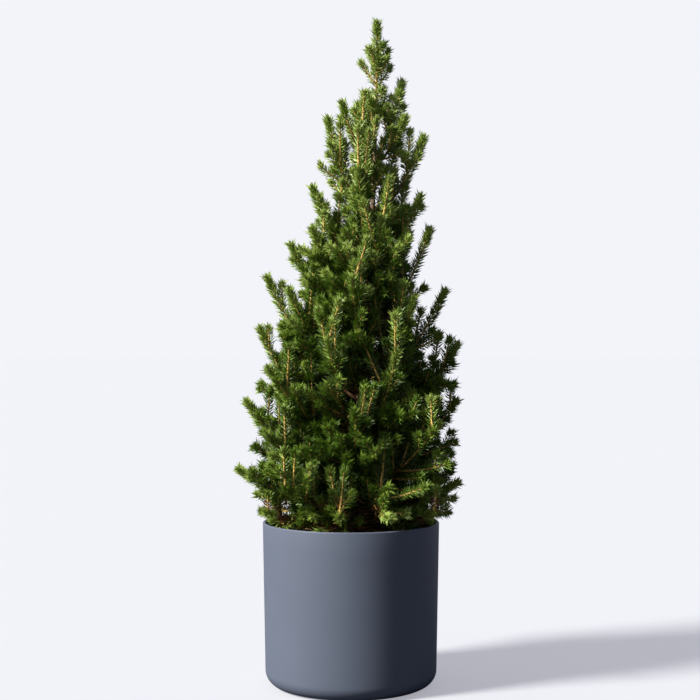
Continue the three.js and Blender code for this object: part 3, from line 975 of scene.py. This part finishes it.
# %% Inner, low and bare shoots
INNER_SHOOTS = 165
INNER_HEIGHTS = (158 * MM, 440 * MM)
INNER_CROWDING = 1.3  # more than 1 puts more of them near the compost
INNER_REACH = 0.68  # of the crown's radius at that height
INNER_LENGTHS = (0.7, 1.2)
INNER_RISE = (0.1, 0.95)
LEAST_RISE = 0.2  # of that, for the lowest
INNER_CLOTHED = 0.25
LOW_SHOOTS = {"count": 22, "turns": (-40, 80), "heights": (157 * MM, 176 * MM),
              "rises": (0.02, 0.3), "lengths": (55 * MM, 85 * MM)}
BARE_TWIGS = {"count": 18, "turns": (190, 380), "heights": (156 * MM, 172 * MM),
              "rises": (0.02, 0.5), "lengths": (45 * MM, 82 * MM)}
BARE_WOOD = (1.1 * MM, 0.6 * MM)


def line_from_trunk(height, turn, rise, length):
    away = unit(np.array([math.cos(turn), math.sin(turn), rise]))
    return bowed_line(trunk_point(height), away, length)


def lines_by_chance(count, turns, heights, rises, lengths):
    """Lines that leave the trunk, each with a turn, height, rise and length within bounds."""
    for _ in range(count):
        turn = math.radians(random.uniform(*turns))
        height = random.uniform(*heights)
        rise = random.uniform(*rises)
        yield line_from_trunk(height, turn, rise, random.uniform(*lengths))


def shaded_shoots(lines):
    """A shoot on each line that has room, bare near the trunk."""
    roomy = [points for points in lines if has_room(points[ROOTED:])]
    return [Stem(points, SHOOT_WOOD, SHOOT, INNER_CLOTHED, 1) for points in roomy]


def inner_lines():
    for part in np.linspace(0, 1, INNER_SHOOTS):
        height = between(INNER_HEIGHTS, part ** INNER_CROWDING)
        turn = random.uniform(0, 2 * np.pi)
        rise = random.uniform(*INNER_RISE) * between((LEAST_RISE, 1), part ** 0.5)
        length = INNER_REACH * outline(height) * random.uniform(*INNER_LENGTHS)
        yield line_from_trunk(height, turn, rise, length)


def bare_twigs():
    return [Stem(points, BARE_WOOD, BARE, 1, 1) for points in lines_by_chance(**BARE_TWIGS)]


print("bare twigs:", BARE_TWIGS["count"])

# %% [markdown]
# Now everything grows in one go. Twigs are kept in a list of their own, because they bear no twigs
# themselves. The order matters only to the random numbers: moving a line here would give another plant.

# %% Grow the stems
LONGEST_TWIG = 29 * MM
TWIG_SHARE = 0.5  # of the length of the shoot that bears it
SKIRT_TWIGS = 0.6  # of that on the skirt's young ends, so that they stay slim
OLD_TWIGS = (0.7, 1)  # between which shares of a stem it has twigs
END_TWIGS = (0.04, 0.62)
LEADER_TWIGS = (0.1, 0.6)
UPRIGHT_TWIGS = (0.03, 0.32)
SHOOT_TWIGS = (0.2, 0.8)
INNER_TWIGS = (0.35, 0.95)


def side_shoots(arm, courses):
    """An arm's side shoots, shortened where the crown narrows to its leader."""
    for start, away, length in courses:
        while not beside_leader(start + away * length, 0) and length > SHORTEST_TWIG:
            length *= SHORTENING
        yield Stem(bowed_line(start, away, length), SHOOT_WOOD, SHOOT, SHOOT_CLOTHED, arm.girth)


def grow_stems():
    """All stems that bear needles, the twigs last."""
    stems, twigs = [], []

    def add(stem, shares, longest):
        stems.append(stem)
        twigs.extend(twigs_on(stem, shares, longest))

    for arm in arms:
        add(old_length(arm), OLD_TWIGS, LONGEST_TWIG)
        add(young_end(arm), END_TWIGS, LONGEST_TWIG * (SKIRT_TWIGS if arm.name == "skirt" else 1))
    add(young_end(leader), LEADER_TWIGS, LONGEST_TWIG)
    add(top_of_trunk(), (0, 1), LONGEST_TWIG)
    for arm in arms:
        for shoot in upright_shoots(arm):
            add(shoot, UPRIGHT_TWIGS, TWIG_SHARE * shoot.length)
    for shoot in shaded_shoots(inner_lines()):
        add(shoot, INNER_TWIGS, LONGEST_TWIG)
    for arm, courses in zip(every_arm, arm_shoots):
        for shoot in side_shoots(arm, courses):
            add(shoot, SHOOT_TWIGS, min(LONGEST_TWIG, TWIG_SHARE * shoot.length))
    for shoot in shaded_shoots(lines_by_chance(**LOW_SHOOTS)):
        add(shoot, INNER_TWIGS, LONGEST_TWIG)
    return stems + twigs


stems = grow_stems()
bare = bare_twigs()
print("stems:", len(stems), "with", round(sum(stem.length for stem in stems + bare), 1), "m of wood")

# %% [markdown]
# ## Wood of the stems
# All stems have the same number of points, so their tubes are one array sum: a ring of points round each
# stem point and faces that join ring to ring. A tube closed at both ends is a real body, which a curve with a
# bevel would leave open.

# %% Tubes along the stems
NEARLY_UP = UP + np.array([0.013, 0.007, 0])  # no stem runs exactly this way
ARM_SIDES, SHOOT_SIDES, TWIG_SIDES = 7, 5, 3


def tubes(points, radii, sides):
    """Closed tubes round many stems: points is stems by rings by 3, and radii is stems by rings."""
    stem_count, rings = radii.shape
    ways = unit(np.gradient(points, axis=1))
    reference = np.cross(ways[:, :1], NEARLY_UP)
    across = unit(reference - (reference * ways).sum(-1, keepdims=True) * ways)
    over = np.cross(ways, across)
    angles = circle_angles(sides)
    circle = np.cos(angles)[:, None] * across[:, :, None] + np.sin(angles)[:, None] * over[:, :, None]
    skin = points[:, :, None] + circle * radii[:, :, None, None]
    corners = np.concatenate([skin.reshape(stem_count, -1, 3), points[:, :1], points[:, -1:]], axis=1)
    starts = np.arange(stem_count)[:, None, None] * corners.shape[1]
    return corners.reshape(-1, 3), (ring_faces(rings, sides) + starts).reshape(-1, 3)


def stem_tubes(chosen, sides, every=1):
    """Tubes along stems, with a ring at each of their points or at every second one."""
    points = np.stack([stem.points[::every] for stem in chosen])
    ends = np.array([stem.wood for stem in chosen])
    shares = np.linspace(0, 1, points.shape[1])
    radii = ends[:, :1] * (1 - shares) + ends[:, 1:] * shares
    return tubes(points, radii, sides)


def of_order(order):
    return [stem for stem in stems if stem.order == order]


old_shell = stem_tubes(of_order(OLD) + bare, ARM_SIDES)
young_shell = join_shells([stem_tubes(of_order(YOUNG), ARM_SIDES), stem_tubes(of_order(SHOOT), SHOOT_SIDES),
                           stem_tubes(of_order(TWIG), TWIG_SIDES, every=2)])
print("twigs:", len(of_order(TWIG)))

# %% [markdown]
# Young shoots of this plant are golden tan, and turn reddish brown as they age. Both get fine flecks, and
# the small pegs that old needles leave behind show as bump.

# %% Wood finishes and pieces
OLD_WOOD = ((0.20, 0.10, 0.042), (0.40, 0.25, 0.11), 420.0)  # colour, lightest fleck, flecks' scale
YOUNG_WOOD = ((0.54, 0.34, 0.075), (0.70, 0.49, 0.15), 520.0)


def flecked_wood(graph, colour, light, fleck_scale):
    flecks = graph.noise(fleck_scale, 4.0, roughness=0.65)
    pegs = graph.noise(fleck_scale * 2.5, 1.0)
    stops = [(0.3, shade(colour, 0.55)), (0.5, shade(colour)), (0.72, shade(light))]
    return {
        "Base Color": graph.ramp(flecks, stops),
        "Roughness": 0.62 + 0.2 * flecks,
        "Normal": graph.bump(pegs, 0.5, 0.0005),
    }


old_wood = finish("old_wood", flecked_wood, *OLD_WOOD)
young_wood = finish("young_wood", flecked_wood, *YOUNG_WOOD)
foliage_nodes = sorted(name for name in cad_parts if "foliage" in name)
add_piece("arm_wood", old_shell, old_wood, foliage_nodes, True)
add_piece("shoot_wood", young_shell, young_wood, foliage_nodes, True)

# %% [markdown]
# ## Needles
# Along a stem the needles follow the golden angle and stand closer towards its tip, where a round tuft of
# shorter ones surrounds the bud. Particle hair could strew them, but it would be lost in an export, so each
# needle's place is worked out here.

# %% Where the needles stand
NEEDLES_PER_M = np.array([2400, 3600, 2100, 2300])  # of old and young lengths, shoots and twigs
LEANS = (64, 50)  # degrees off the stem, at its foot and at its tip
LEAN_SPREAD = 9
CROWDING = 0.68  # 1 would space them evenly, and less crowds them towards the tip
SIZES = (0.72, 1.08)
TUFT_NEEDLES = np.array([0, 90, 36, 29])
TUFT_DEPTHS = np.array([0, 13, 6, 4]) * MM
TUFT_LEAN = 62
TUFT_SIZE = 0.68  # beside the other needles
TUFT_SIZES = (0.85, 1.1)
orders = np.array([stem.order for stem in stems])
lengths = np.array([stem.length for stem in stems])
clothed_from = np.array([stem.clothed_from for stem in stems])


def dealt(counts):
    """The stem of each needle and its number on that stem, for so many needles on each stem."""
    owner = np.repeat(np.arange(len(counts)), counts)
    return owner, np.arange(len(owner)) - np.repeat(np.cumsum(counts) - counts, counts)


def needles_along():
    """The stem, number, share of the stem, lean and size of each needle along the stems."""
    counts = (lengths * (1 - clothed_from) * NEEDLES_PER_M[orders]).astype(int)
    owner, number = dealt(counts)
    progress = (number + random.uniform(0, 1, len(owner))) / counts[owner]
    share = clothed_from[owner] + (1 - clothed_from[owner]) * progress ** CROWDING
    lean = between(LEANS, share) + give_or_take(LEAN_SPREAD, len(owner))
    return owner, number, share, lean, random.uniform(*SIZES, len(owner))


def needles_of_tufts():
    """The same for the needles of the round tuft at each stem's tip."""
    counts = TUFT_NEEDLES[orders]
    owner, number = dealt(counts)
    part = (number + 0.5) / counts[owner]
    lean = np.degrees(np.arccos(1 - part * (1 - math.cos(math.radians(TUFT_LEAN)))))
    share = 1 - TUFT_DEPTHS[orders[owner]] * part / lengths[owner]
    return owner, number, share, lean, TUFT_SIZE * random.uniform(*TUFT_SIZES, len(owner))


both_kinds = list(zip(needles_along(), needles_of_tufts()))
print("needles along the stems and in tufts:", [len(owner) for owner in both_kinds[0]])

# %% [markdown]
# Each needle now gets its foot on the stem's line and its own direction. The few that would touch the trunk
# or the planter, or stand out of the crown, are left out.

# %% Where the needles point
NEEDLE_LENGTH = 9.8 * MM
NEEDLE_LIFT = 0.08
NEEDLE_TURNS = 25
GIRTH_SIZES = (0.55, 0.45)  # of the length: on the thinnest stem, and what girth adds
CROWN_SPARE = 4 * MM
NEEDLE_CLEARANCE = 0.4 * MM


def needle_rows(owner, number, share, lean, size):
    """Foot, stem's direction, own direction, length, stem and share of it of every needle, as arrays."""
    points = np.stack([stem.points for stem in stems])
    place = np.clip(share * (STEM_POINTS - 1), 0, LAST_PLACE)
    step = place.astype(int)
    part = (place - step)[:, None]
    feet = points[owner, step] * (1 - part) + points[owner, step + 1] * part
    ways = unit(points[owner, step + 1] - points[owner, step])
    turn = np.radians(GOLDEN_ANGLE * number + give_or_take(NEEDLE_TURNS, len(owner)))[:, None]
    across = unit(np.cross(ways, NEARLY_UP))
    needle_ways = leaning(ways, across, turn, np.radians(lean)[:, None], NEEDLE_LIFT)
    girths = np.array([stem.girth for stem in stems])[owner]
    sizes = NEEDLE_LENGTH * (GIRTH_SIZES[0] + GIRTH_SIZES[1] * girths) * size
    return feet, ways, needle_ways, sizes, owner, share


rows = needle_rows(*[np.concatenate(pair) for pair in both_kinds])
feet, stem_ways, needle_ways, sizes, owner, share = rows
tips = feet + needle_ways * sizes[:, None]
kept = in_crown(tips, CROWN_SPARE) | ((orders[owner] <= YOUNG) & in_box(tips, CROWN_SPARE))
kept &= clear_of_trunk_and_planter(tips, NEEDLE_CLEARANCE)
feet, stem_ways, needle_ways, sizes, owner, share = [row[kept] for row in rows]
print("needles:", len(feet))

# %% [markdown]
# A needle of this plant is up to 10 mm long and under a millimetre thick. A flat card would vanish edge-on,
# so each is a tiny closed sliver of four faces, with a foot, two corners near its middle and a point.

# %% Needle shape
NEEDLE_HALF_WIDTH = 0.47 * MM
NEEDLE_HEIGHT = 0.9 * MM
NEEDLE_WAIST = 0.45
NEEDLE_ARCH = 0.06


def needle_shell(feet, stem_ways, needle_ways, sizes):
    """Closed four-faced needles, each widest near its middle and arched towards the stem's tip."""
    across = unit(np.cross(needle_ways, stem_ways + OFF_UPRIGHT))
    over = np.cross(needle_ways, across)
    half_height = over * NEEDLE_HEIGHT / 2
    waist = feet + needle_ways * (sizes * NEEDLE_WAIST)[:, None] - stem_ways * (sizes * NEEDLE_ARCH)[:, None]
    left = waist + across * NEEDLE_HALF_WIDTH + half_height
    right = waist - across * NEEDLE_HALF_WIDTH + half_height
    points = np.stack([feet - half_height, left, right, feet + needle_ways * sizes[:, None]], axis=1)
    faces = np.array([[0, 1, 2], [3, 2, 1], [0, 3, 1], [0, 2, 3]])
    starts = np.arange(len(feet))[:, None, None] * points.shape[1]
    return points.reshape(-1, 3), (faces + starts).reshape(-1, 3)


print("a needle is", round(2 * NEEDLE_HALF_WIDTH / MM, 2), "mm wide")

# %% [markdown]
# ## Needle colours
# This year's tips are yellow-green, older needles are deep green, and a few at the foot are dry and brown.
# The tints also carry painted light and shade: from shaded to tip they run from a painted shaded green to a
# painted lit one. The tint is dealt out by spray: how near the spray is to the crown's skin, which leaves
# painted shade inside the crown, how high, how far along its stem, whether it is low, which gives painted
# light from the floor, whether it is on the leader, which is painted lighter, and a little chance. Each tint
# is a finish of its own, with one piece or two that wear it.

# %% Deal the tints
# Lit and shaded copies of one needle finish, as well as old and young needles: shaded is painted shade, and
# fresh and tip are partly painted light.
TINTS = [
    ("shaded", (0.028, 0.055, 0.004)),
    ("deep", (0.056, 0.110, 0.007)),
    ("green", (0.097, 0.172, 0.014)),
    ("fresh", (0.160, 0.244, 0.029)),
    ("tip", (0.250, 0.340, 0.064)),
    ("dry", (0.120, 0.050, 0.018)),
]
TINT_SHARES = [0.19, 0.43, 0.70, 0.88]  # of all needles, up to the shaded, deep, green and fresh tints
OUTWARD, ALONG, UPWARD, LOW, ON_LEADER = 0.72, 0.48, 0.8, 0.35, 0.5  # what lightens a spray's tint, for fresh growth and as painted light; inner sprays keep painted shade
YOUNG_BONUS = 0.12
SPRAY_CHANCE = 0.16
SPRAYS_OF_STEM = 3
LOW_SPRAYS = 250 * MM  # below this the sprays get a lighter tint, painted light from the pale floor
DRY_SHARE = 0.16
DRY_BELOW = 196 * MM
DRY_UP_TO = 0.6  # the share of a stem


def deal_tints():
    """The number of the tint of every needle."""
    heights = feet[:, 2]
    by_stem = give_or_take(SPRAY_CHANCE, len(stems)) + YOUNG_BONUS * (orders == YOUNG)
    outward = from_trunk(feet, heights) / outline(heights)
    along = np.floor(share * SPRAYS_OF_STEM) / SPRAYS_OF_STEM
    upward = (heights - COMPOST_TOP) / (PLANT_TOP - COMPOST_TOP)
    low = np.clip((LOW_SPRAYS - heights) / (LOW_SPRAYS - COMPOST_TOP), 0, 1)
    # Painted shade and light: sprays deep in the crown get darker tints, and low sprays and the leader
    # lighter ones.
    freshness = (OUTWARD * outward + ALONG * along + UPWARD * upward + LOW * low
                 + ON_LEADER * near_leader(heights) + by_stem[owner])
    tint = np.searchsorted(np.quantile(freshness, TINT_SHARES), freshness)
    on_dry_stem = (random.uniform(0, 1, len(stems)) < DRY_SHARE)[owner]
    withered = on_dry_stem & (heights < DRY_BELOW) & (share < DRY_UP_TO)
    return np.where(withered, len(TINTS) - 1, tint)


tint_of = deal_tints()
print("needles of each tint:", dict(zip([name for name, _ in TINTS], np.bincount(tint_of).tolist())))

# %% [markdown]
# A needle is slightly glossy, with pale pores along it that are too fine for shape. An image could show them,
# but a fine noise of lighter and darker green stands for them from any distance.

# %% Needle pieces
MOST_NEEDLES = 48000  # in one piece, four faces each


def streaked_needle(graph, colour):
    streaks = graph.noise(700.0, 2.0)
    return {
        "Base Color": graph.mix(streaks, shade(colour, 0.78), shade(colour, 1.22)),
        "Roughness": 0.38 + 0.16 * streaks,
        "Specular IOR Level": 0.36,
        "Normal": graph.bump(streaks, 0.15, 0.0003),
    }


for number, (name, colour) in enumerate(TINTS):
    chosen = np.flatnonzero(tint_of == number)
    tinted = finish(f"{name}_needles", streaked_needle, colour)
    parts = np.array_split(chosen, max(1, math.ceil(len(chosen) / MOST_NEEDLES)))
    for count, part in enumerate(parts, 1):
        shell = needle_shell(feet[part], stem_ways[part], needle_ways[part], sizes[part])
        add_piece(f"{name}_needles_{count}", shell, tinted, foliage_nodes, False)

# %% [markdown]
# ## Bark of the trunk and boughs
# The trunk and the thick inner boughs are woody, with small scales and lengthwise cracks. The relief is in
# the mesh: every point of a fine tube moves in or out by a noise that is stretched along the wood.

# %% Bark relief
BARK_RINGS = 300
BARK_SIDES = 28
BARK_STEP = (TRUNK_TIP - TRUNK_FOOT) / BARK_RINGS
BARK_RELIEF = 0.16  # of the radius
BARK_NOISE = (0.8, 2.1, 4)  # how fast its detail fades, its step in size and its number of sizes
SCALE_LENGTH = 7 * MM
SCALE_WIDTH = 2.6 * MM
BOUGH_RINGS = 60
BOUGH_SIDES = 14
BOUGH_OVERLAP = 0.02  # of the arm, into the stem that goes on from it


def with_relief(points, radii, sides):
    """A closed tube whose radius follows the bark's scales."""
    rough = np.empty((len(points), sides))
    for ring, radius in enumerate(radii):
        for side, angle in enumerate(circle_angles(sides)):
            outward = np.array([math.cos(angle), math.sin(angle)]) * radius
            spot = Vector((*(outward / SCALE_WIDTH), ring * BARK_STEP / SCALE_LENGTH))
            rough[ring, side] = noise.fractal(spot, *BARK_NOISE)
    shell, faces = tubes(points[None], radii[None], sides)
    skin = shell[:-2].reshape(len(points), sides, 3)
    skin += (skin - points[:, None]) * (BARK_RELIEF * rough)[..., None]
    return shell, faces


def bough_shell(arm):
    shares = np.linspace(0, BOUGH_SHARE + BOUGH_OVERLAP, BOUGH_RINGS)
    radii = np.linspace(BOUGH_ROOT_RADIUS, BOUGH_TIP_RADIUS, BOUGH_RINGS)
    return with_relief(arm.point(shares), radii, BOUGH_SIDES)


trunk_heights = np.linspace(TRUNK_FOOT, TRUNK_TIP, BARK_RINGS)
trunk_shell = with_relief(trunk_point(trunk_heights), trunk_radius(trunk_heights), BARK_SIDES)
bough_shells = [bough_shell(arm) for arm in arms if arm.name == "skirt"]
print("boughs:", len(bough_shells))

# %% [markdown]
# Brown flakes with dark cracks cover the old wood, with a greyish film in places, and the young top of the
# trunk is tan like the shoots. All of it is one finish that blends by height, so no seam shows.

# %% Bark finish and pieces
YOUNG_ABOVE = (480 * MM, 560 * MM)  # over this stretch the bark turns from brown to tan
BARK_FLAKES = [(0.32, (0.045, 0.024, 0.014, 1)), (0.5, (0.135, 0.072, 0.042, 1)),
               (0.7, (0.30, 0.185, 0.11, 1))]
YOUNG_FLAKES = [(0.3, (0.30, 0.17, 0.07, 1)), (0.55, (0.58, 0.42, 0.22, 1))]
FILM_PATCHES = [(0.55, BLACK), (0.72, (0.5, 0.5, 0.5, 1))]
FILM = (0.21, 0.165, 0.12, 1)


def flaky_bark(graph):
    height = graph.node("ShaderNodeSeparateXYZ", {}, {"Vector": graph.place()}, "Z")
    stretch = {"Value": height, "From Min": YOUNG_ABOVE[0], "From Max": YOUNG_ABOVE[1]}
    youth = graph.node("ShaderNodeMapRange", {}, stretch)
    flakes = graph.noise(330.0, 5.0, roughness=0.65, stretch=(1.0, 1.0, 0.4))
    patches = graph.ramp(graph.noise(60.0, 3.0), FILM_PATCHES)
    old = graph.mix(patches, graph.ramp(flakes, BARK_FLAKES), FILM)
    return {
        "Base Color": graph.mix(youth, old, graph.ramp(flakes, YOUNG_FLAKES)),
        "Roughness": 0.72 + 0.2 * flakes,
        "Normal": graph.bump(flakes, 0.6, 0.0008),
    }


bark = finish("bark", flaky_bark)
bough_nodes = sorted(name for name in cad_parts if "bough" in name)
add_piece("trunk_bark", trunk_shell, bark, ["trunk"], True)
add_piece("bough_bark", join_shells(bough_shells), bark, bough_nodes, True)

# %% [markdown]
# ## Compost
# Potting compost is dark and damp, a crumbly bed with bits of bark in it. Only the front edge of it ever
# shows, between the rim and the lowest needles, so noise in the bed's height is enough for its lumps.

# %% Compost bed
COMPOST_FALL = 3 * MM
COMPOST_INSET = POT_WALL + CLEARANCE
COMPOST_FOOT = POT_CORNER + CLEARANCE
BED_SIDES = 120
BED_RINGS = 36
BED_MIDDLE = 1 * MM  # the radius of its innermost ring
BED_ROUGHNESS = 1.6 * MM
LUMP_SIZE = 6 * MM
LUMP_NOISE = (0.9, 2.0, 4)
LUMP_LEVEL = 0.8


def bed_radius(height):
    return wall_radius(height) - COMPOST_INSET


def bed_height(radius):
    return COMPOST_TOP - COMPOST_FALL * (radius / bed_radius(COMPOST_TOP)) ** 2


def compost_bed():
    edge = bed_radius(COMPOST_TOP - COMPOST_FALL)
    surface = [(radius, bed_height(radius)) for radius in np.linspace(edge, BED_MIDDLE, BED_RINGS)]
    foot = [(0, COMPOST_FOOT), (bed_radius(COMPOST_FOOT), COMPOST_FOOT)]
    points, faces = turned([*foot, *surface, (0, COMPOST_TOP)], BED_SIDES)
    for index in np.flatnonzero(points[:, 2] > 2 * COMPOST_FOOT):
        lump = noise.fractal(Vector(points[index] / LUMP_SIZE), *LUMP_NOISE)
        points[index, 2] += BED_ROUGHNESS * (lump - LUMP_LEVEL)
    return points, faces


print("compost is", round(2 * bed_radius(COMPOST_TOP) / MM), "mm across its top")

# %% [markdown]
# Several hundred angular crumbs lie half sunk in the bed. Each is a block whose corners are pushed about by
# chance, which is shape enough for a lump of a few millimetres.

# %% Crumbs
CRUMBS = 900
CRUMB_SIZES = (1.2 * MM, 4.2 * MM)
CRUMB_SINK = 0.6 * MM
CRUMB_SIDES = (0.35, 1)  # of a crumb's size
CRUMB_SKEW = 0.25


def crumb_shell():
    """Small angular lumps, each an uneven eight-cornered block."""
    block = np.array([[x, y, z] for x in (-1, 1) for y in (-1, 1) for z in (-1, 1)], float)
    quads = np.array([[0, 1, 3, 2], [4, 6, 7, 5], [0, 4, 5, 1], [2, 3, 7, 6], [0, 2, 6, 4], [1, 5, 7, 3]])
    faces = np.concatenate([quads[:, [0, 1, 2]], quads[:, [0, 2, 3]]])
    edge = bed_radius(COMPOST_TOP) - CRUMB_SIZES[1]
    shells = []
    for _ in range(CRUMBS):
        radius, turn = edge * math.sqrt(random.uniform(0.02, 1)), random.uniform(0, 2 * np.pi)
        size = between(CRUMB_SIZES, random.uniform(0, 1) ** 3)
        shape = block * random.uniform(*CRUMB_SIDES, 3) + give_or_take(CRUMB_SKEW, block.shape)
        spin, _ = np.linalg.qr(random.normal(size=(3, 3)))
        if np.linalg.det(spin) < 0:
            spin[:, 0] *= -1
        centre = (radius * math.cos(turn), radius * math.sin(turn), bed_height(radius) - CRUMB_SINK)
        shells.append((shape @ spin.T * size / 2 + centre, faces))
    return join_shells(shells)


compost_shell = join_shells([compost_bed(), crumb_shell()])
print("crumbs:", CRUMBS)

# %% [markdown]
# Damp crumbs are nearly black in their cracks and brown on their tops, and bits of fibre are paler. Dampness
# takes some of the roughness off the tops.

# %% Compost finish and piece
CRUMB_TONES = [(0.3, (0.006, 0.004, 0.003, 1)), (0.52, (0.026, 0.016, 0.010, 1)),
               (0.75, (0.085, 0.052, 0.030, 1))]
FIBRE_PATCHES = [(0.6, BLACK), (0.75, (0.6, 0.6, 0.6, 1))]
FIBRE = (0.13, 0.078, 0.042, 1)


def damp_compost(graph):
    crumbs = graph.noise(420.0, 6.0, roughness=0.7)
    fibre = graph.noise(260.0, 3.0, stretch=(1.0, 3.0, 1.0))
    return {
        "Base Color": graph.mix(graph.ramp(fibre, FIBRE_PATCHES), graph.ramp(crumbs, CRUMB_TONES), FIBRE),
        "Roughness": 0.95 - 0.2 * crumbs,
        "Specular IOR Level": 0.12,
        "Normal": graph.bump(crumbs, 0.8, 0.001),
    }


add_piece("compost_bed", compost_shell, finish("damp_compost", damp_compost), ["compost"], False)
